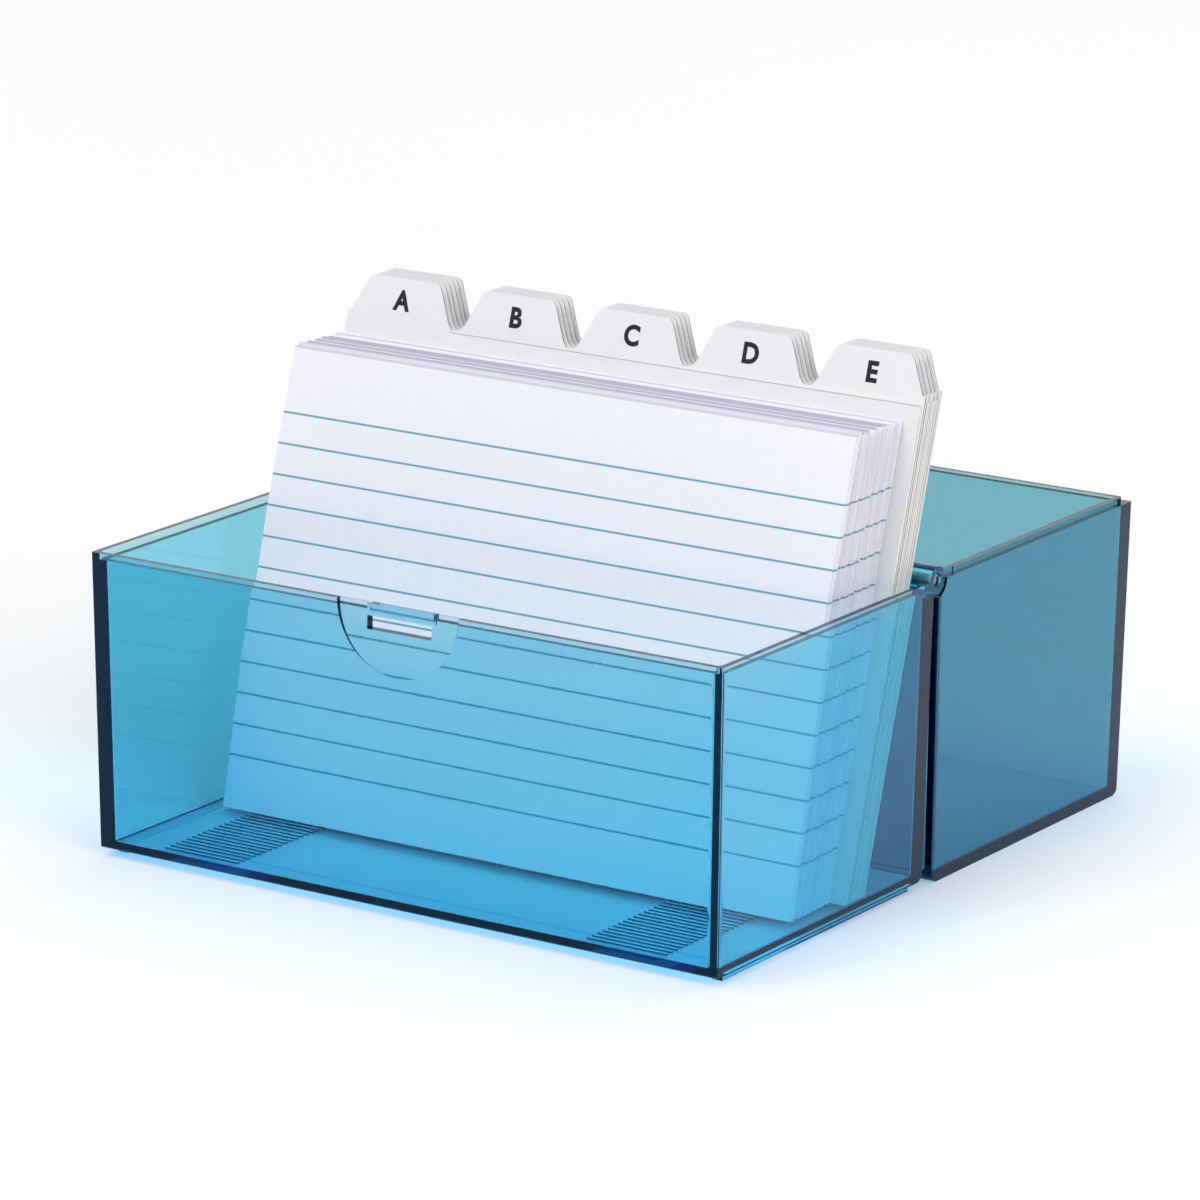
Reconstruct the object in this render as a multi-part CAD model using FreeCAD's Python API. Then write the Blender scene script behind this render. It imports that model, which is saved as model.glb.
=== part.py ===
import FreeCAD, Part
import math
import os

from FreeCAD import Vector

# Hinged index card box, stood open: a tray with its lid folded flat behind it, 80 ruled
# cards and 26 tabbed guides leaning back against the rear rim of the tray.
# Origin: on the table below the middle of the hinge line. +X right, -Y front, +Z up. mm.
# Sizes in Y below are measured from the tray's rear face; save() moves them to the origin.

os.makedirs("parts", exist_ok=True)

# ---- cards and guides -------------------------------------------------------------------
card_width = 148.0
card_height = 105.0
card_sheet = 0.185  # thickness of one index card
card_air = 0.0144  # between one card and the next at the foot
card_count = 80
cards_per_node = 4
card_shift = 0.15  # the cards stand this far right of the middle
card_fan = 0.8  # and wander this far either way
card_lift = 0.7  # highest that a card's foot is held off the ribs
guide_over = 3.9  # a guide is this much wider than a card
guide_shift = 1.75
guide_height = 109.0  # body of a guide, without its tab
guide_sheet = 0.27
guide_air = 0.05  # between one guide and the next
guide_gap = 0.10  # air between the last card and the first guide
tab_rise = 10.4
tab_top_width = 18.9
tab_foot_width = 28.4
tab_corner = 2.0
tabs_across = 5
letters = "abcdefghijklmnopqrstuvwxyz"
guide_lean = 16.6  # the guides stand straight, leaning back this many degrees
front_bow = (-4.3, -1.7, 0.8)  # the front card bows: lean of each third, less the guides'
seat_gap = 0.03  # between the lowest card edge and the ribs
rear_gap = 0.18  # between the last guide and the rear rim

# ---- tray and lid -----------------------------------------------------------------------
side_play = 5.1  # from a card to the wall at the rim, on each side
box_depth = 86.0
tray_height = 69.75  # table to the top of the tray's rim
lid_drop = 0.30  # the open lid's rim lies this far below the tray's, without its tongue
wall = 2.9
tray_floor = 1.52
lid_floor = 2.2
draft = 0.0138  # each wall leans out this much for each unit of height
outer_corner = 0.35
inner_corner = 0.65
bottom_round = 2.4  # along the rear of the tray and both long sides of the lid
front_round = 0.8  # along the front of the tray
inner_floor_round = 0.5
foot_height = 1.78  # two rails under the tray's floor
foot_inset = 1.5  # from the side face of the tray
foot_width = 2.6
foot_front = 5.7  # ends of the rails, from the front and rear of the rim
foot_rear = 4.5

# ---- rim joint: a rabbet in the tray, a tongue on the lid --------------------------------
lip_thick = 1.4  # outer half of the tray's rim, left standing
rabbet_depth = 1.6
tongue_height = 1.20
tongue_gap = 0.2  # sideways, between the tongue and the standing lip
tongue_corner = 0.8
rabbet_end = 3.6  # the rabbet stops this far in front of the rear face
tongue_start = 6.2  # the tongue starts this far behind the tray's rear face
tick_front = 16.5  # the rabbet is a little wider from here back
tick_lid = 10.5  # the tongue is a little thinner up to here
tick_step = 0.25

# ---- hinge ------------------------------------------------------------------------------
hinge_y = 1.05
hinge_drop = 0.13  # the hinge line lies this far below the tray's rim
knuckle_radius = 3.2
knuckle_room = 1.1  # cut from the other half around a knuckle
knuckle_length = 6.0  # tray, lid, tray, from the side face in
knuckle_side_gap = 0.15
pin_radius = 1.20
pin_play = 0.05  # around the pin in the lid's knuckle; it is pressed into the tray's
pin_recess = 0.9  # the pin's end sits this far inside the bore
bore_mouth = 0.45  # chamfer at the bore's mouth
pin_break = 0.15

# ---- thumb recess and latch, at the middle of each front wall -----------------------------
thumb_radius = 15.7
thumb_deep = 1.2  # at the rim
thumb_shallow = 0.25  # at the foot of the half circle
window_half = 8.4
window_top = 2.95  # below the tray's rim, the underside of the latch bar
window_bottom = 6.0
bar_drop = 0.5  # from the tray's rim to the top of the bar
bar_swell = 0.4  # the bar is this much thicker than the wall, inward
bar_end = 0.25  # the bar's ends overlap the wall beside the window
bar_room = 0.4  # between the bar's ends and the lid's tongue
strap_side = 0.6  # the strap is narrower than the window by this on each side
strap_drop = 5.6  # below the lid's rim when the box is closed
strap_thick = 1.5
strap_root = 8.0  # height of the strap's root on the lid's inner face
strap_gap = 0.45  # between the strap and the bar
strap_corner = 0.6
nib_height = 1.5
nib_clear = 0.22  # between the nib's tip and the plane of the bar

# ---- grip ribs on the tray's floor --------------------------------------------------------
rib_height = 0.35
rib_thick = 0.8
rib_pitch = 2.0
rib_length = 20.0
rib_inset = 16.0  # from the side face of the tray to a rib's outer end
rib_first = 3.2  # least room from the inner face of the front wall
rib_behind = 0.4  # a rib lies this far behind the foot of the front card
rib_last = 6.0  # least room from the rear face of the tray

box_width = card_width + 2 * (side_play + wall)
floor_top = foot_height + tray_floor
lid_height = tray_height - lid_drop
hinge_z = tray_height - hinge_drop
knuckle_ends = [box_width / 2 - n * knuckle_length for n in range(4)]
guide_width = card_width + guide_over
guide_pitch = guide_sheet + guide_air
cards_foot = (card_count - 1) * (card_sheet + card_air)
front_leans = [guide_lean + bend for bend in front_bow]
card_rest = floor_top + rib_height + seat_gap
lid_near = 2 * hinge_y  # outer face of the lid's hinge wall
front = -box_depth
bow = len(front_leans)
lean = math.radians(guide_lean)


def vec(x, y, z):
    return Vector(x, y, z)


def rounded_loop(x0, y0, x1, y1, z, r):
    """A closed rectangle of arcs and lines at height z."""
    c = r * (1 - math.sqrt(0.5))
    edges = []

    def line(a, b):
        edges.append(Part.makeLine(vec(*a, z), vec(*b, z)))

    def arc(a, m, b):
        edges.append(Part.Arc(vec(*a, z), vec(*m, z), vec(*b, z)).toShape())

    line((x0 + r, y0), (x1 - r, y0))
    arc((x1 - r, y0), (x1 - c, y0 + c), (x1, y0 + r))
    line((x1, y0 + r), (x1, y1 - r))
    arc((x1, y1 - r), (x1 - c, y1 - c), (x1 - r, y1))
    line((x1 - r, y1), (x0 + r, y1))
    arc((x0 + r, y1), (x0 + c, y1 - c), (x0, y1 - r))
    line((x0, y1 - r), (x0, y0 + r))
    arc((x0, y0 + r), (x0 + c, y0 + c), (x0 + r, y0))
    return Part.Wire(edges)


def tapered(y0, y1, z_low, z_high, z_rim, inset, r):
    """Solid between two heights of a box whose walls lean out to full size at z_rim."""
    loops = []
    for z in (z_low, z_high):
        d = inset + draft * (z_rim - z)
        half = box_width / 2 - d
        loops.append(rounded_loop(-half, y0 + d, half, y1 - d, z, r))
    return Part.makeLoft(loops, True, True)


def level_edges(shape, z, tol=0.01):
    """Edges lying wholly at height z."""
    return [
        e
        for e in shape.Edges
        if abs(e.BoundBox.ZMin - z) < tol and abs(e.BoundBox.ZMax - z) < tol
    ]


def half_shell(y0, y1, z_low, z_rim, floor, round_near, round_far):
    """One drafted half of the box, rounded along the long edges of its floor, hollowed."""
    body = tapered(y0, y1, z_low, z_rim, z_rim, 0, outer_corner)
    d = draft * (z_rim - z_low)
    reach = box_width / 2 + 1
    tall = z_rim - z_low + 10
    lean_out = draft * tall
    a, b = y0 + d, y1 - d
    ra, rb = round_near, round_far
    ca, cb = ra * (1 - math.sqrt(0.5)), rb * (1 - math.sqrt(0.5))

    def p(y, w):
        return vec(-reach, y, z_low + w)

    edges = [
        Part.makeLine(p(a + ra, 0), p(b - rb, 0)),
        Part.Arc(p(b - rb, 0), p(b - cb, cb), p(b, rb)).toShape(),
        Part.makeLine(p(b, rb), p(b + lean_out, tall)),
        Part.makeLine(p(b + lean_out, tall), p(a - lean_out, tall)),
        Part.makeLine(p(a - lean_out, tall), p(a, ra)),
        Part.Arc(p(a, ra), p(a + ca, ca), p(a + ra, 0)).toShape(),
    ]
    profile = Part.Face(Part.Wire(edges)).extrude(vec(2 * reach, 0, 0))
    hollow = tapered(y0, y1, z_low + floor, z_rim + 5, z_rim, wall, inner_corner)
    hollow = hollow.makeFillet(inner_floor_round, level_edges(hollow, z_low + floor))
    return body.common(profile).cut(hollow)


def bar_x(x0, x1, y, z, r):
    """Round bar along X."""
    return Part.makeCylinder(r, x1 - x0, vec(x0, y, z), vec(1, 0, 0))


def box(x0, x1, y0, y1, z0, z1):
    return Part.makeBox(x1 - x0, y1 - y0, z1 - z0, vec(x0, y0, z0))


def mirrored(shape):
    return shape.mirror(vec(0, 0, 0), vec(1, 0, 0))


def both_sides(shape):
    return [shape, mirrored(shape)]


def span(upper, lower):
    """Ends of a knuckle along X with its share of the side gap taken off."""
    return lower + knuckle_side_gap / 2, upper - knuckle_side_gap / 2


def knuckle_block(index):
    """Round knuckle between two ends; the first reaches the side face of the box."""
    x0, x1 = span(knuckle_ends[index], knuckle_ends[index + 1])
    if index == 0:
        x1 = knuckle_ends[0]
    return bar_x(x0, x1, hinge_y, hinge_z, knuckle_radius), x0, x1


def knuckle_clearance(index):
    """Room cut from the other half around a knuckle."""
    x0 = knuckle_ends[index + 1] - knuckle_side_gap / 2
    x1 = knuckle_ends[index] + knuckle_side_gap / 2
    if index == 0:
        x1 = knuckle_ends[0] + 1
    return bar_x(x0, x1, hinge_y, hinge_z, knuckle_radius + knuckle_room)


# ---- thumb recess, drawn for the tray's front wall ----------------------------------------
# The lid's is the same shape turned half a turn about the hinge.


def thumb_cut(z_rim):
    """Half-round scoop in the outer face, deeper at the rim than at its foot."""
    slope = (thumb_deep - thumb_shallow) / thumb_radius
    top = z_rim + 6
    low = z_rim - thumb_radius - 1
    y_top = front + thumb_deep + slope * 6
    y_low = front + thumb_shallow - slope
    pts = [(front - 3, low), (y_low, low), (y_top, top), (front - 3, top)]
    ring = [vec(-thumb_radius - 1, y, z) for y, z in pts]
    wedge = Part.Face(Part.makePolygon(ring + ring[:1])).extrude(
        vec(2 * thumb_radius + 2, 0, 0)
    )
    disc = Part.makeCylinder(
        thumb_radius, 12, vec(0, front - 4, z_rim), vec(0, 1, 0)
    )
    return disc.common(wedge)


def grip_ribs():
    """Two patches of low ribs that keep the feet of the cards from sliding."""
    x1 = box_width / 2 - rib_inset
    ribs = []
    y = cards_front_y + rib_behind
    while y - rib_pitch > front + wall + rib_first:
        y -= rib_pitch
    while y < -rib_last:
        rib = box(
            x1 - rib_length, x1, y - rib_thick / 2, y + rib_thick / 2,
            floor_top - 0.3, floor_top + rib_height,
        )  # fmt: skip
        ribs += both_sides(rib)
        y += rib_pitch
    return ribs


def make_tray():
    z_rim = tray_height
    shell = half_shell(
        front, 0, foot_height, z_rim, tray_floor, front_round, bottom_round
    )

    # a foot rail under each side of the floor
    x1 = box_width / 2 - draft * (z_rim - foot_height) - foot_inset
    rail = box(
        x1 - foot_width, x1, front + foot_front, -foot_rear, 0, foot_height + 0.3
    )
    shell = shell.fuse(both_sides(rail))

    # rabbet: the inner half of the rim is lower, on the front and both sides
    t = lip_thick
    side = box_width / 2
    step = Part.Face(
        rounded_loop(
            -side + t, front + t, side - t, 40, z_rim - rabbet_depth, tongue_corner + tongue_gap
        )
    ).extrude(vec(0, 0, rabbet_depth + 3))
    step = step.cut(box(-90, 90, -rabbet_end, 50, z_rim - 5, z_rim + 5))
    wide = box(
        side - t - 2, side - t + tick_step, -tick_front, -rabbet_end,
        z_rim - rabbet_depth, z_rim + 3,
    )  # fmt: skip
    step = step.fuse(both_sides(wide))
    shell = shell.cut(step)

    # thumb recess; behind it the window, with the latch bar across its top
    w = window_half
    scoop = thumb_cut(z_rim)
    inside = front + wall + bar_swell
    gap = box(-w, w, front - 1, inside + 1, z_rim - window_bottom, z_rim + 1)
    bar = box(
        -w - bar_end, w + bar_end, front, inside, z_rim - window_top, z_rim - bar_drop
    )
    shell = shell.cut(gap).fuse(bar).cut(scoop)

    shell = shell.removeSplitter()

    # floor ribs
    shell = shell.fuse(grip_ribs())

    # hinge: the outer and inner knuckles are the tray's, the middle one is the lid's
    for index in (0, 2):
        block, x0, x1 = knuckle_block(index)
        shell = shell.fuse(both_sides(block))
    room = knuckle_clearance(1)
    shell = shell.cut(Part.makeCompound(both_sides(room)))
    bore = bar_x(knuckle_ends[3] - 1, knuckle_ends[0] + 1, hinge_y, hinge_z, pin_radius)
    mouth = Part.makeCone(
        pin_radius, pin_radius + bore_mouth, bore_mouth,
        vec(knuckle_ends[0] - bore_mouth, hinge_y, hinge_z), vec(1, 0, 0),
    )  # fmt: skip
    for cutter in (bore, mouth):
        shell = shell.cut(Part.makeCompound(both_sides(cutter)))
    return shell


def make_lid():
    z_rim = lid_height
    near, far = lid_near, lid_near + box_depth
    shell = half_shell(near, far, 0, z_rim, lid_floor, bottom_round, bottom_round)

    # tongue on the two sides and the front, which is the far wall while the lid lies open
    side = box_width / 2
    off = lip_thick + tongue_gap
    outer = Part.Face(
        rounded_loop(-side + off, near - 20, side - off, far - off, z_rim - 0.3, tongue_corner)
    ).extrude(vec(0, 0, tongue_height + 0.3))
    inner = tapered(near, far, z_rim - 1, z_rim + 5, z_rim, wall, inner_corner)
    inner = inner.fuse(box(-side + wall, side - wall, near - 30, near + 10, 0, 90))
    tongue = outer.cut(inner)
    tongue = tongue.cut(box(-90, 90, near - 40, tongue_start, z_rim - 5, z_rim + 5))
    thin = box(
        side - off - tick_step, side, tongue_start - 1, tick_lid, z_rim, z_rim + 3
    )
    tongue = tongue.cut(Part.makeCompound(both_sides(thin)))
    reach = window_half + bar_end + bar_room
    tongue = tongue.cut(box(-reach, reach, far - 10, far + 1, z_rim, z_rim + 3))
    shell = shell.fuse(tongue)

    # thumb recess and strap: drawn in the closed position, then opened
    closed_rim = 2 * hinge_z - z_rim
    scoop = thumb_cut(closed_rim)
    scoop.rotate(vec(0, 0, closed_rim), vec(0, 1, 0), 180)
    half = window_half - strap_side
    strap_out = front + wall + bar_swell + strap_gap
    strap_in = strap_out + strap_thick
    strap_low = closed_rim - strap_drop
    strap = box(-half, half, strap_out, strap_in, strap_low, closed_rim + strap_root)
    rounded = [
        e
        for e in strap.Edges
        if e.BoundBox.ZMax < strap_low + 0.01 and e.BoundBox.YMin > strap_in - 0.01
    ]
    strap = strap.makeFillet(strap_corner, rounded)
    root_low = closed_rim + strap_gap
    root_pts = [
        (front + wall - 0.3, root_low),
        (strap_out + 0.3, root_low),
        (strap_out + 0.3, closed_rim + strap_root),
        (front + wall - 0.3, closed_rim + strap_root),
    ]
    nib_tip = strap_out - strap_gap + nib_clear
    nib_pts = [
        (strap_out + 0.2, strap_low + nib_height),
        (nib_tip, strap_low + nib_height - 0.15),
        (nib_tip, strap_low + nib_height - 0.9),
        (strap_out + 0.2, strap_low + 0.1),
    ]
    pieces = [strap]
    for pts, reach in ((root_pts, half), (nib_pts, half - 0.6)):
        ring = [vec(-reach, y, z) for y, z in pts]
        pieces.append(
            Part.Face(Part.makePolygon(ring + ring[:1])).extrude(vec(2 * reach, 0, 0))
        )
    for piece in pieces + [scoop]:
        piece.rotate(vec(0, hinge_y, hinge_z), vec(1, 0, 0), 180)
    shell = shell.cut(scoop).fuse(pieces)

    # hinge
    block, x0, x1 = knuckle_block(1)
    shell = shell.fuse(both_sides(block))
    for index in (0, 2):
        shell = shell.cut(Part.makeCompound(both_sides(knuckle_clearance(index))))
    bore = bar_x(x0 - 1, x1 + 1, hinge_y, hinge_z, pin_radius + pin_play)
    shell = shell.cut(Part.makeCompound(both_sides(bore)))
    return shell.removeSplitter()


def make_pin():
    x0, x1 = knuckle_ends[3] + 0.4, knuckle_ends[0] - pin_recess
    pin = bar_x(x0, x1, hinge_y, hinge_z, pin_radius)
    ends = [e for e in pin.Edges if e.isClosed() and e.BoundBox.XMin > x1 - 0.01]
    return pin.makeChamfer(pin_break, ends)


def up_sheet(a):
    return vec(0, math.sin(a), math.cos(a))


def bow_points(share):
    """Foot, folds and head of a card; share 0 is the front card, 1 the rearmost."""
    front_line = [vec(0, cards_front_y, card_rest)]
    rear_line = [vec(0, cards_rear_y, card_rest)]
    for a in front_leans:
        front_line.append(front_line[-1] + up_sheet(math.radians(a)) * (card_height / bow))
        rear_line.append(rear_line[-1] + up_sheet(lean) * (card_height / bow))
    return [p + (q - p) * share for p, q in zip(front_line, rear_line)]


def bowed_card(share, lift, x0, x1):
    """One card as a bent strip between two ends along X."""
    p = bow_points(share)
    ups = [b - a for a, b in zip(p, p[1:])]
    for u in ups:
        u.normalize()
    outs = [vec(0, u.z, -u.y) for u in ups]
    lift += card_sheet * ups[0].y / ups[0].z  # the rear corner of the foot is the lowest
    near = [p[0] + ups[0] * lift] + p[1:bow]
    used = sum((b - a).Length for a, b in zip(near, near[1:]))
    near.append(near[-1] + ups[-1] * (card_height - used))
    far = [near[0] + outs[0] * card_sheet]
    for k in range(1, bow):
        n0, n1 = outs[k - 1], outs[k]
        far.append(near[k] + (n0 + n1) * (card_sheet / (1 + n0.dot(n1))))
    far.append(near[-1] + outs[-1] * card_sheet)
    ring = [vec(x0, q.y, q.z) for q in near + far[::-1]]
    return Part.Face(Part.makePolygon(ring + ring[:1])).extrude(vec(x1 - x0, 0, 0))


def jitter(i, seed):
    """Small repeatable unevenness between -1 and 1."""
    return math.sin(i * 12.9898 + seed * 4.1414) * math.cos(i * 7.233 + seed)


guides_thick = len(letters) * guide_pitch
# the rear guide stops just short of the rear wall's inner edge at the rim
rise = tray_height - card_rest
guides_front_y = -wall - rear_gap - rise * math.tan(lean) - guides_thick / math.cos(lean)
cards_rear_y = guides_front_y - (guide_gap + card_sheet) / math.cos(lean)
cards_front_y = cards_rear_y - cards_foot / math.cos(math.radians(front_leans[0]))


def make_card(i):
    middle = card_shift
    if i:
        middle += card_fan * (0.6 * jitter(i, 1) + 0.4 * jitter(i // 7, 3))
    lift = 0
    if i % 3:
        lift = card_lift * (1 + jitter(i, 2)) / 2
    half = card_width / 2
    return bowed_card(i / (card_count - 1), lift, middle - half, middle + half)


def tab_outline(middle, z):
    """Points and arcs of a tab with rounded shoulders, from left foot to right foot."""
    half_top, half_foot = tab_top_width / 2, tab_foot_width / 2
    r = tab_corner
    # left foot fillet, left side, left shoulder, then the same mirrored
    out = []
    foot_r = 3.0
    angle = math.atan2(tab_rise, half_foot - half_top)
    cut_foot = foot_r * math.tan(angle / 2)
    cut_top = r * math.tan(angle / 2)
    ux, uz = math.cos(angle), math.sin(angle)
    a = (-half_foot - cut_foot, 0)
    b = (-half_foot + cut_foot * ux, cut_foot * uz)
    m_f = (
        -half_foot - cut_foot + foot_r * math.sin(angle / 2),
        foot_r * (1 - math.cos(angle / 2)),
    )
    c = (-half_top - cut_top * ux, tab_rise - cut_top * uz)
    d = (-half_top + cut_top, tab_rise)
    m_t = (
        -half_top + cut_top - r * math.sin(angle / 2),
        tab_rise - r * (1 - math.cos(angle / 2)),
    )
    left = [a, m_f, b, c, m_t, d]
    right = [(-x, y) for x, y in reversed(left)]
    for x, y in left + right:
        out.append(vec(middle + x, 0, z + y))
    return out


def make_guide(k):
    """Guide sheet k with its tab at one of five places."""
    place = k % tabs_across
    back = k * guide_pitch
    half = guide_width / 2
    shift = guide_shift + 0.12 * jitter(k, 5)
    pitch = (guide_width - tab_foot_width) / (tabs_across - 1)
    middle = -half + tab_foot_width / 2 + place * pitch
    z0 = (back + guide_sheet) * math.tan(lean)  # so that its foot's rear corner rests
    z1 = z0 + guide_height
    a, m_f, b, c, m_t, d, d2, m_t2, c2, b2, m_f2, a2 = tab_outline(middle, z1)
    edges = [
        Part.makeLine(b, c),
        Part.Arc(c, m_t, d).toShape(),
        Part.makeLine(d, d2),
        Part.Arc(d2, m_t2, c2).toShape(),
        Part.makeLine(c2, b2),
    ]
    low_left, low_right = vec(-half, 0, z0), vec(half, 0, z0)
    if a.x > -half + 0.01:
        top_left = vec(-half, 0, z1)
        edges = [
            Part.makeLine(top_left, a), Part.makeLine(a, m_f), Part.makeLine(m_f, b)
        ] + edges
    else:
        top_left = vec(-half, 0, b.z)
        edges = [Part.makeLine(top_left, b)] + edges
    if a2.x < half - 0.01:
        top_right = vec(half, 0, z1)
        edges += [
            Part.makeLine(b2, m_f2), Part.makeLine(m_f2, a2), Part.makeLine(a2, top_right)
        ]
    else:
        top_right = vec(half, 0, b2.z)
        edges += [Part.makeLine(b2, top_right)]
    edges += [
        Part.makeLine(top_right, low_right),
        Part.makeLine(low_right, low_left),
        Part.makeLine(low_left, top_left),
    ]
    sheet = Part.Face(Part.Wire(edges)).extrude(vec(0, guide_sheet, 0))
    sheet.translate(vec(shift, back, 0))
    sheet.rotate(vec(0, 0, 0), vec(1, 0, 0), -guide_lean)
    sheet.translate(vec(0, guides_front_y, card_rest))
    return sheet


def save(name, shape):
    shape.translated(vec(0, -hinge_y, 0)).exportStep("parts/" + name + ".step")


save("base_tray", make_tray())
save("lid", make_lid())
pin = make_pin()
save("hinge_pin_right", pin)
save("hinge_pin_left", mirrored(pin))
for k, letter in enumerate(letters):
    save("guide_" + letter, make_guide(k))
for n in range(card_count // cards_per_node):
    first = n * cards_per_node
    group = [make_card(i) for i in range(first, first + cards_per_node)]
    save("index_cards_%02d" % (n + 1), Part.makeCompound(group))
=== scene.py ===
import math

import bpy
from mathutils import Matrix, Vector


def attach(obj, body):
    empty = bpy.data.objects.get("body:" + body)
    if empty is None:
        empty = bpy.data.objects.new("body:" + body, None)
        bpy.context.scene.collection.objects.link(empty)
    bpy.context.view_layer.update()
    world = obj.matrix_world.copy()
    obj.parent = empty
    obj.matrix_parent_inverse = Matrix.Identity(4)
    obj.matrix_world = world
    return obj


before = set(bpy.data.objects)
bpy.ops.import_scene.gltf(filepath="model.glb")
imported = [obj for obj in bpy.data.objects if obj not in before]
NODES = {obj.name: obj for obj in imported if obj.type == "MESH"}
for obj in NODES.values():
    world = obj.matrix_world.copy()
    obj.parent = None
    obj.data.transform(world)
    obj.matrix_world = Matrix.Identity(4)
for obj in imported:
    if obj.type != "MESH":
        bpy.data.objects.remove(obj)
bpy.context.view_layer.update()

LETTERS = "abcdefghijklmnopqrstuvwxyz"
GUIDES = ["guide_" + c for c in LETTERS]
CARDS = ["index_cards_%02d" % (n + 1) for n in range(20)]
PINS = ["hinge_pin_left", "hinge_pin_right"]

# ---- sizes of the object that the looks follow, in metres ---------------------------------
FOOT_Z = 0.00368  # the feet of the cards and guides stand at this height

CARD_HEIGHT = 0.105
CARD_LEANS = (12.3, 14.9, 17.4)  # the front card bows: lean of each third, in degrees
CARD_SLOPE = -0.27  # y against height along the pack of cards
CARD_RIM = 0.00030  # darker strip painted along the top of each card's face
CARD_DRIFT = 0.0009  # on the pack's sides the rules of single cards wander over this
RULE_PITCH, RULE_HALF = 0.00708, 0.00023
RULE_TOP = 0.0150  # from the top of the card to its first rule
RULE_ABOVE = 0.0015  # nothing is ruled further above the first rule than this
RULE_FOOT = 0.0085  # nor nearer to the foot of the card than this

GUIDE_WIDTH, GUIDE_SHIFT, TAB_FOOT = 0.1519, 0.00175, 0.0284
GUIDE_HEIGHT, GUIDE_SHADE_LINE = 0.1090, 0.00022
GUIDE_FOOT_Y, GUIDE_SHEET, GUIDE_PITCH = -0.032508, 0.00027, 0.00032
GUIDE_SLOPE = -0.298  # y against height along the pack of guides
LEAN = math.radians(16.6)
LEAN_SIN, LEAN_COS, LEAN_TAN = math.sin(LEAN), math.cos(LEAN), math.tan(LEAN)
TABS_ACROSS = 5
TABS_FROM = 0.1085  # the slopes of the tabs lie above this height
FIRST_TAB_END = GUIDE_SHIFT - GUIDE_WIDTH / 2 + TAB_FOOT
FRONT_GUIDES = 5  # guides that leaf forward apart from the rest

LETTER_SIZE, LETTER_NARROW = 0.0063, 0.93
LETTER_BOLD, LETTER_THICK = 0.00025, 0.00001
LETTER_OFF = 0.00002  # in front of its guide
LETTER_UP = GUIDE_HEIGHT + 0.0051  # from the guide's own foot to the middle of its letter

RIB_X = (0.0455, 0.0665)  # the grip ribs on the tray's floor, left and right of the middle
RIB_Z = (0.00331, 0.00372)
RIM_Z = (0.0672, 0.0712)  # tops of the rims of tray and lid

# ---- faces are told apart by how much of their normal lies along an axis ----------------------
RIM_TURN, RIB_TURN = 0.9, 0.4
CARD_FACE, CARD_SIDE, CARD_TOP, CARD_CUT = 0.5, 0.5, 0.6, 0.55
GUIDE_FACE, SLOPE_TURN = 0.55, 0.35

# ---- colours ----------------------------------------------------------------------------------
ABSORB = (0.0, 0.80, 0.955, 1.0)  # what the plastic lets through over its path
ABSORB_DENSITY = 360.0
SHEEN = (0.10, 0.42, 0.95, 1.0)  # its reflections take on the blue of the wall
THROUGH = (0.97, 0.98, 0.99, 1)  # what one face of the plastic lets pass
# tray and lid are one plastic; their surface tints are lowered, the lid's further, as painted
# shade for the darker surroundings seen through them
TRAY_SHADED_TINT = (0.81, 0.83, 0.84, 1)
LID_SHADED_TINT = (0.57, 0.59, 0.61, 1)
# painted shade on the sides of the grip ribs
RIB_PAINTED_SHADE = (0.02, 0.14, 0.22, 1)
# painted shade on the top faces of the rims
RIM_PAINTED_SHADE = (0.16, 0.34, 0.58, 1)
PAPER = (0.77, 0.75, 0.80, 1), (0.79, 0.77, 0.82, 1)
PAPER_SHADE = (0.34, 0.34, 0.45, 1)
RULE_BLUE = (0.13, 0.31, 0.42, 1)
BOARD = (0.68, 0.68, 0.685, 1), (0.72, 0.72, 0.725, 1)
# dark and pale bands on the guides' cut edges: painted shade between the stacked sheets and
# painted highlight on their edges
BOARD_CUT_SHADE_AND_LIGHT = (0.08, 0.07, 0.06, 1), (0.76, 0.73, 0.69, 1)
# painted shade line along the top of the first guide's body
BOARD_SHADE_LINE = (0.40, 0.40, 0.41, 1)
TAB_SHADE = (0.02, 0.02, 0.02, 1)
STEEL = (0.34, 0.31, 0.27, 1), (0.78, 0.76, 0.72, 1)
INK = (0.010, 0.010, 0.012, 1), (0.028, 0.028, 0.032, 1)
FLOOR = (0.61, 0.61, 0.61, 1), (0.63, 0.63, 0.63, 1)
WORLD_LIGHT = (0.50, 0.51, 0.53, 1)
WORLD_SEEN = (0.97, 0.97, 0.97, 1)

# ---- cut edges of stacked sheets, painted in bands of shade and highlight that mark the single sheets: noise bands per metre and their detail, and their tones ------
CARD_WANDER = (900.0, 0.0)
CARD_BANDS, CARD_TONES = (2100.0, 2.0), (0.40, 0.66, 0.10, 0.62)
BATCH_BANDS, BATCH_TONES = (620.0, 1.0), (0.42, 0.56, 0.02, 0.80)
GUIDE_BANDS, GUIDE_TONES = (2600.0, 1.0), (0.36, 0.50)
SIDE_RULES = 0.75  # strength of the rules on the sides of the pack
EDGE_SHARE = 0.9  # strength of the painted shade and highlight on a guide's cut edges, and of the shade on its slopes

# ---- camera, lamps and floor --------------------------------------------------------------------
CAM_AT = Vector((0.766013, -1.175792, 0.430796))
CAM_AZ, CAM_EL, CAM_ROLL = (math.radians(a) for a in (33.27, 15.09, 0.56))
CAM_LENS, CAM_SENSOR = 194.43, 36.0
CAM_CLIP = (0.05, 60.0)
LAMPS = (  # name, place, aim, side and power
    ("key", (-0.35, -0.95, 2.0), (0, 0, 0.05), 1.2, 23.0),
    ("fill", (1.6, -0.6, 1.2), (0, 0, 0.05), 1.2, 26.0),
    ("top", (0.0, 0.6, 2.0), (0, 0, 0.0), 1.6, 14.0),
)
FLOOR_REACH, FLOOR_BELOW = 12.0, 0.0001
FLOOR_GLOW = (0.05, 1.6, 0.09, 0.40)  # painted glow, weaker near the object: from and to this far from the middle, and how strong
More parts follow.
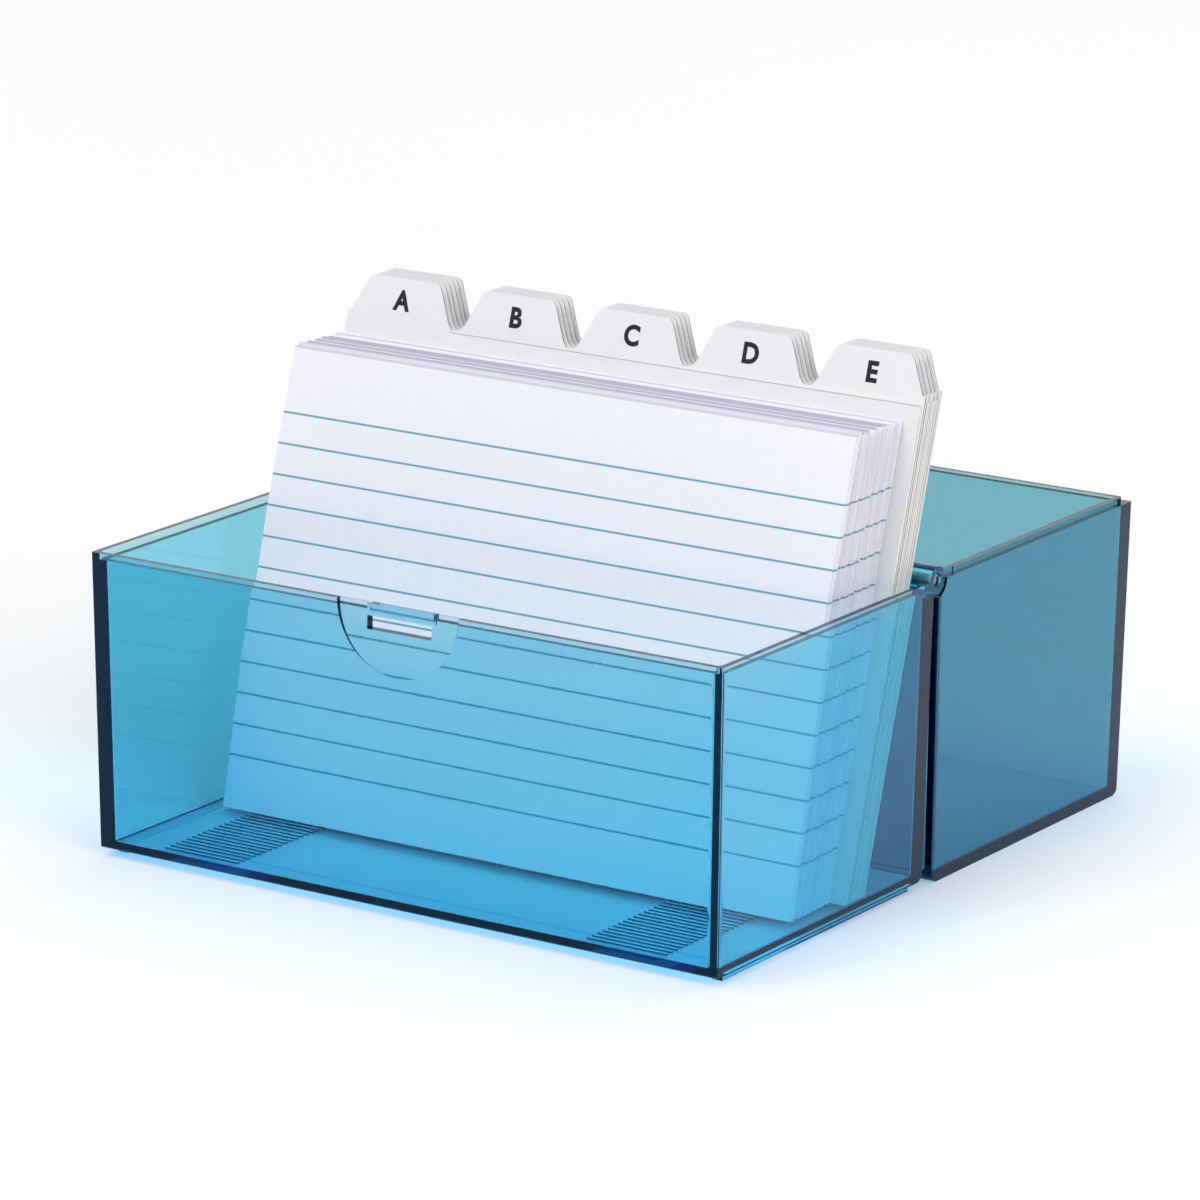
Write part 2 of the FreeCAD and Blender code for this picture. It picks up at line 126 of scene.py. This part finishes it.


# ---- node helpers -------------------------------------------------------------------------------
class Graph:
    """Small helper to write the nodes of a material or a world as lines of code."""

    def __init__(self, owner, output="OutputMaterial"):
        self.owner = owner
        owner.use_nodes = True
        self.tree = owner.node_tree
        self.tree.nodes.clear()
        self.out = self.node(output)

    def link(self, output, socket):
        self.tree.links.new(output, socket)

    def node(self, kind, values=None, links=None, **props):
        n = self.tree.nodes.new("ShaderNode" + kind)
        for k, v in props.items():
            setattr(n, k, v)
        for k, v in (values or {}).items():
            n.inputs[k].default_value = v
        for k, v in (links or {}).items():
            self.link(v, n.inputs[k])
        return n

    def fill(self, n, inputs):
        """Set each input of a node to a plain value, or link it to another node's output."""
        for i, v in inputs.items():
            if isinstance(v, (int, float, tuple)):
                n.inputs[i].default_value = v
            elif v is not None:
                self.link(v, n.inputs[i])

    def math(self, op, a, b=None, clamp=False):
        n = self.node("Math", operation=op, use_clamp=clamp)
        self.fill(n, {0: a, 1: b})
        return n.outputs[0]

    def mix(self, factor, a, b):
        n = self.node("Mix", data_type="RGBA")
        self.fill(n, {0: factor, 6: a, 7: b})
        return n.outputs[2]

    def times(self, first, *others):
        for v in others:
            first = self.math("MULTIPLY", first, v)
        return first

    def absolute(self, value):
        return self.math("ABSOLUTE", value)

    def above(self, value, low):
        return self.math("GREATER_THAN", value, low)

    def below(self, value, high):
        return self.math("LESS_THAN", value, high)

    def between(self, value, low, high):
        return self.times(self.above(value, low), self.below(value, high))

    def ramp(self, value, start, end, low=0.0, high=1.0):
        values = {"From Min": start, "From Max": end, "To Min": low, "To Max": high}
        return self.node("MapRange", values, {"Value": value}).outputs[0]

    def coord(self, kind="Object"):
        return self.node("TexCoord").outputs[kind]

    def normal(self):
        return self.node("NewGeometry").outputs["Normal"]

    def split(self, vector):
        return self.node("SeparateXYZ", links={"Vector": vector}).outputs

    def noise(self, vector, scale, detail):
        values = {"Scale": scale, "Detail": detail}
        return self.node("TexNoise", values, {"Vector": vector}).outputs[0]

    def bands(self, value, per_metre, detail):
        """Noise along one direction only, as across the edges of stacked sheets."""
        n = self.node("TexNoise", {"Scale": 1.0, "Detail": detail}, noise_dimensions="1D")
        self.link(self.times(value, per_metre), n.inputs["W"])
        return n.outputs[0]

    def bump(self, height, strength, distance, normal=None):
        n = self.node("Bump", {"Strength": strength, "Distance": distance}, {"Height": height})
        if normal is not None:
            self.link(normal, n.inputs["Normal"])
        return n.outputs[0]

    def background_seen(self):
        """1 for rays that look at the background, and 0 for those that light the object."""
        path = self.node("LightPath").outputs
        seen = self.math("MAXIMUM", path["Is Camera Ray"], path["Is Glossy Ray"])
        return self.math("MAXIMUM", seen, path["Is Transmission Ray"])

    def finish(self, surface, volume=None):
        self.link(surface, self.out.inputs["Surface"])
        if volume is not None:
            self.link(volume, self.out.inputs["Volume"])
        return self.owner


def new_material(name):
    return Graph(bpy.data.materials.new(name))


# ---- materials ----------------------------------------------------------------------------------
def plastic_material(name, tint, ribs=False):
    """Clear tinted moulded plastic: smooth, refracting, darker along its long light paths."""
    g = new_material(name)
    coord = g.coord()
    ripple = g.noise(coord, 22.0, 2.0)
    grain = g.noise(coord, 900.0, 1.0)
    bump = g.bump(grain, 0.02, 0.0001, g.bump(ripple, 0.05, 0.0006))
    shell = g.node(
        "BsdfPrincipled",
        {"IOR": 1.57, "Specular Tint": SHEEN, "Transmission Weight": 1.0, "Metallic": 0.0},
        {"Roughness": g.ramp(ripple, 0.35, 0.7, 0.012, 0.035), "Normal": bump},
    )
    # the rims are seen end on, through the height of the wall; their top faces get painted shade
    # for the light lost along that path
    xyz = g.split(coord)
    nrm = g.split(g.coord("Normal"))
    top = g.times(g.above(nrm[2], RIM_TURN), g.between(xyz[2], *RIM_Z))
    color = g.mix(top, tint, RIM_PAINTED_SHADE)
    if ribs:  # and the sides of the grip ribs on the floor get the same painted shade
        side = g.above(g.absolute(nrm[1]), RIB_TURN)
        side = g.times(side, g.between(g.absolute(xyz[0]), *RIB_X), g.between(xyz[2], *RIB_Z))
        color = g.mix(side, color, RIB_PAINTED_SHADE)
    g.link(color, shell.inputs["Base Color"])
    # light goes on through the wall to what stands behind it
    through = g.node("BsdfTransparent", {"Color": THROUGH})
    shadow = g.node("LightPath").outputs["Is Shadow Ray"]
    both = g.node("MixShader", links={0: shadow, 1: shell.outputs[0], 2: through.outputs[0]})
    volume = g.node("VolumeAbsorption", {"Color": ABSORB, "Density": ABSORB_DENSITY})
    return g.finish(both.outputs[0], volume.outputs[0])


def length_along_card(g, height):
    """Way up the bowed face of a card, third by third, from the height above its foot."""
    third = CARD_HEIGHT / len(CARD_LEANS)
    rises = [third * math.cos(math.radians(a)) for a in CARD_LEANS]
    total = None
    start = 0.0
    for n, rise in enumerate(rises):
        part = g.math("MAXIMUM", g.math("SUBTRACT", height, start), 0.0)
        if n < len(rises) - 1:
            part = g.math("MINIMUM", part, rise)
        part = g.times(part, third / rise)
        total = part if total is None else g.math("ADD", total, part)
        start += rise
    return total


def card_material():
    """White card stock with pale blue rules on its faces and on the sides of the pack, and bands
    of painted shade on the pack's sides and top.
    """
    g = new_material("ruled_card")
    coord = g.coord()
    xyz = g.split(coord)
    nrm = g.split(g.normal())
    facing = g.above(g.times(nrm[1], -1.0), CARD_FACE)
    side = g.above(g.absolute(nrm[0]), CARD_SIDE)
    top = g.above(g.absolute(nrm[2]), CARD_TOP)
    cut = g.below(g.absolute(nrm[1]), CARD_CUT)
    along = length_along_card(g, g.math("SUBTRACT", xyz[2], FOOT_Z))
    depth = g.math("ADD", xyz[1], g.times(xyz[2], CARD_SLOPE))

    # on the sides of the pack the rules of each card stand higher or lower than the next
    drift = g.times(g.math("SUBTRACT", g.bands(depth, *CARD_WANDER), 0.5), CARD_DRIFT)
    up = g.math("ADD", along, g.times(drift, side))
    down = g.math("SUBTRACT", CARD_HEIGHT - RULE_TOP, up)
    line = g.below(g.math("PINGPONG", down, RULE_PITCH / 2), RULE_HALF)
    ruled = g.times(g.above(down, -RULE_ABOVE), g.above(up, RULE_FOOT))
    shown = g.math("ADD", facing, g.times(side, SIDE_RULES), clamp=True)
    rule = g.times(line, ruled, shown)

    # single cards show in the sides of the pack, and small batches of them along its top, as bands
    # of painted shade between them
    fibre = g.noise(coord, 420.0, 3.0)
    paper = g.mix(g.ramp(fibre, 0.3, 0.7), *PAPER)
    single = g.ramp(g.bands(depth, *CARD_BANDS), *CARD_TONES)
    batch = g.ramp(g.bands(depth, *BATCH_BANDS), *BATCH_TONES)
    single = g.times(single, g.math("SUBTRACT", 1.0, top))
    shade = g.math("ADD", single, g.times(top, batch), clamp=True)
    paper = g.mix(g.times(cut, shade), paper, PAPER_SHADE)
    # a darker strip is painted along the top of each card's face
    rim = g.times(g.above(along, CARD_HEIGHT - CARD_RIM), facing, batch)
    paper = g.mix(rim, paper, PAPER_SHADE)
    color = g.mix(rule, paper, RULE_BLUE)
    shell = g.node(
        "BsdfPrincipled",
        {"Roughness": 0.72, "Sheen Weight": 0.08},
        {"Base Color": color, "Normal": g.bump(fibre, 0.12, 0.00012)},
    )
    return g.finish(shell.outputs[0])


def guide_material():
    """Smooth off-white board, its cut edges painted in dark and pale bands: painted shade between
    the stacked sheets and painted highlight on their edges.
    """
    g = new_material("guide_board")
    coord = g.coord()
    xyz = g.split(coord)
    nrm = g.split(g.normal())
    edge = g.math("SUBTRACT", 1.0, g.above(g.absolute(nrm[1]), GUIDE_FACE))
    depth = g.math("ADD", xyz[1], g.times(xyz[2], GUIDE_SLOPE))
    fibre = g.noise(coord, 300.0, 4.0)
    # bands of painted shade and painted highlight on the cut edges
    cut = g.mix(g.ramp(g.bands(depth, *GUIDE_BANDS), *GUIDE_TONES), *BOARD_CUT_SHADE_AND_LIGHT)
    # the slopes of the tabs stand in each other's shade
    slope = g.times(g.above(g.absolute(nrm[0]), SLOPE_TURN), g.above(xyz[2], TABS_FROM))
    cut = g.mix(g.times(slope, EDGE_SHARE), cut, TAB_SHADE)
    color = g.mix(g.times(edge, EDGE_SHARE), g.mix(fibre, *BOARD), cut)
    # the body of the first guide ends before the other tabs; a fine line of painted shade runs
    # along its top edge there
    y = g.math("SUBTRACT", xyz[1], GUIDE_FOOT_Y)
    z = g.math("SUBTRACT", xyz[2], FOOT_Z)
    up = g.math("ADD", g.times(y, LEAN_SIN), g.times(z, LEAN_COS))
    back = g.math("SUBTRACT", g.times(y, LEAN_COS), g.times(z, LEAN_SIN))
    top = GUIDE_HEIGHT + GUIDE_SHEET * LEAN_TAN
    first = g.below(back, GUIDE_PITCH / 4)
    rim = g.times(g.between(up, top - GUIDE_SHADE_LINE, top), g.above(xyz[0], FIRST_TAB_END), first)
    color = g.mix(rim, color, BOARD_SHADE_LINE)
    shell = g.node(
        "BsdfPrincipled",
        {"Roughness": 0.62},
        {"Base Color": color, "Normal": g.bump(fibre, 0.08, 0.0001)},
    )
    return g.finish(shell.outputs[0])


def steel_material():
    """Cut steel wire with turning marks on its end."""
    g = new_material("pin_steel")
    mark = g.noise(g.coord(), 1400.0, 3.0)
    shell = g.node(
        "BsdfPrincipled",
        {"Roughness": 0.34, "Metallic": 1.0},
        {"Base Color": g.mix(mark, *STEEL), "Normal": g.bump(mark, 0.5, 0.0002)},
    )
    return g.finish(shell.outputs[0])


def ink_material():
    """Black print that is slightly uneven and hardly shines."""
    g = new_material("letter_ink")
    shell = g.node(
        "BsdfPrincipled",
        {"Roughness": 0.7, "Specular IOR Level": 0.15},
        {"Base Color": g.mix(g.noise(g.coord(), 500.0, 2.0), *INK)},
    )
    return g.finish(shell.outputs[0])


def dress(nodes, mat):
    """Give CAD nodes their material."""
    for name in nodes:
        slots = NODES[name].data.materials
        slots.clear()
        slots.append(mat)


# ---- letters on the tabs ------------------------------------------------------------------------
def make_letter(k, letter, ink):
    """Printed letter on the tab of guide number k, flat on its leaning face."""
    curve = bpy.data.curves.new("letter_" + letter, "FONT")
    curve.body = letter.upper()
    curve.size = LETTER_SIZE
    curve.align_x, curve.align_y = "CENTER", "CENTER"
    curve.extrude = LETTER_THICK
    curve.offset = LETTER_BOLD
    curve.resolution_u = 4
    curve.materials.append(ink)
    o = bpy.data.objects.new("letter_" + letter, curve)
    bpy.context.collection.objects.link(o)
    pitch = (GUIDE_WIDTH - TAB_FOOT) / (TABS_ACROSS - 1)
    x = GUIDE_SHIFT - GUIDE_WIDTH / 2 + TAB_FOOT / 2 + (k % TABS_ACROSS) * pitch
    back = k * GUIDE_PITCH
    up = (back + GUIDE_SHEET) * LEAN_TAN + LETTER_UP
    back -= LETTER_OFF
    y = GUIDE_FOOT_Y + back * LEAN_COS + up * LEAN_SIN
    z = FOOT_Z - back * LEAN_SIN + up * LEAN_COS
    o.location = (x, y, z)
    o.rotation_euler = (math.pi / 2 - LEAN, 0, 0)
    o.scale.x = LETTER_NARROW
    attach(o, "front_guides" if k < FRONT_GUIDES else "rear_guides")


# ---- stage, light and camera --------------------------------------------------------------------
def make_stage():
    """Pale floor with a painted glow that grows away from the middle, where the lamps no longer
    reach it, and leaves the floor darker near the object as painted shade.
    """
    g = new_material("floor_paint")
    coord = g.coord()
    paint = g.node(
        "BsdfPrincipled",
        {"Roughness": 0.9, "Specular IOR Level": 0.0},
        {"Base Color": g.mix(g.noise(coord, 3.0, 2.0), *FLOOR)},
    )
    far = g.node("VectorMath", links={0: coord}, operation="LENGTH").outputs["Value"]
    lift = g.times(g.background_seen(), g.ramp(far, *FLOOR_GLOW))
    glow = g.node("Emission", {"Color": (1, 1, 1, 1)}, {"Strength": lift})
    both = g.node("AddShader", links={0: paint.outputs[0], 1: glow.outputs[0]})
    mesh = bpy.data.meshes.new("floor")
    r = FLOOR_REACH
    mesh.from_pydata([(-r, -r, 0), (r, -r, 0), (r, r, 0), (-r, r, 0)], [], [(0, 1, 2, 3)])
    mesh.materials.append(g.finish(both.outputs[0]))
    floor = bpy.data.objects.new("floor", mesh)
    floor.location.z = -FLOOR_BELOW
    bpy.context.collection.objects.link(floor)


def make_world():
    """Soft light all round, with a white background for the rays that see it."""
    world = bpy.data.worlds.new("studio")
    bpy.context.scene.world = world
    g = Graph(world, "OutputWorld")
    color = g.mix(g.background_seen(), WORLD_LIGHT, WORLD_SEEN)
    g.finish(g.node("Background", {"Strength": 1.0}, {"Color": color}).outputs[0])


def make_lamp(name, at, aim, side, power):
    """Square soft lamp that is aimed at a point."""
    data = bpy.data.lights.new(name, "AREA")
    data.shape, data.size, data.size_y = "RECTANGLE", side, side
    data.energy = power
    o = bpy.data.objects.new(name, data)
    o.location = at
    o.rotation_euler = (Vector(aim) - Vector(at)).to_track_quat("-Z", "Y").to_euler()
    bpy.context.collection.objects.link(o)


def make_camera():
    """Camera that looks back along its azimuth and elevation, slightly rolled."""
    level = math.cos(CAM_EL)
    back = Vector((math.sin(CAM_AZ) * level, -math.cos(CAM_AZ) * level, math.sin(CAM_EL)))
    right = (-back).cross(Vector((0, 0, 1))).normalized()
    up = right.cross(-back)
    r, u = math.cos(CAM_ROLL), math.sin(CAM_ROLL)
    x_axis = right * r + up * u
    y_axis = up * r - right * u
    data = bpy.data.cameras.new("camera")
    data.lens, data.sensor_width = CAM_LENS, CAM_SENSOR
    data.clip_start, data.clip_end = CAM_CLIP
    cam = bpy.data.objects.new("camera", data)
    turn = Matrix((x_axis, y_axis, back)).transposed().to_4x4()
    cam.matrix_world = Matrix.Translation(CAM_AT) @ turn
    bpy.context.collection.objects.link(cam)
    bpy.context.scene.camera = cam


make_camera()
make_world()
for lamp in LAMPS:
    make_lamp(*lamp)
make_stage()

dress(["base_tray"], plastic_material("tray_plastic", TRAY_SHADED_TINT, ribs=True))
dress(["lid"], plastic_material("lid_plastic", LID_SHADED_TINT))
dress(PINS, steel_material())
dress(GUIDES, guide_material())
dress(CARDS, card_material())
ink = ink_material()
for k, letter in enumerate(LETTERS):
    make_letter(k, letter, ink)

bpy.context.scene.view_settings.view_transform = "Standard"
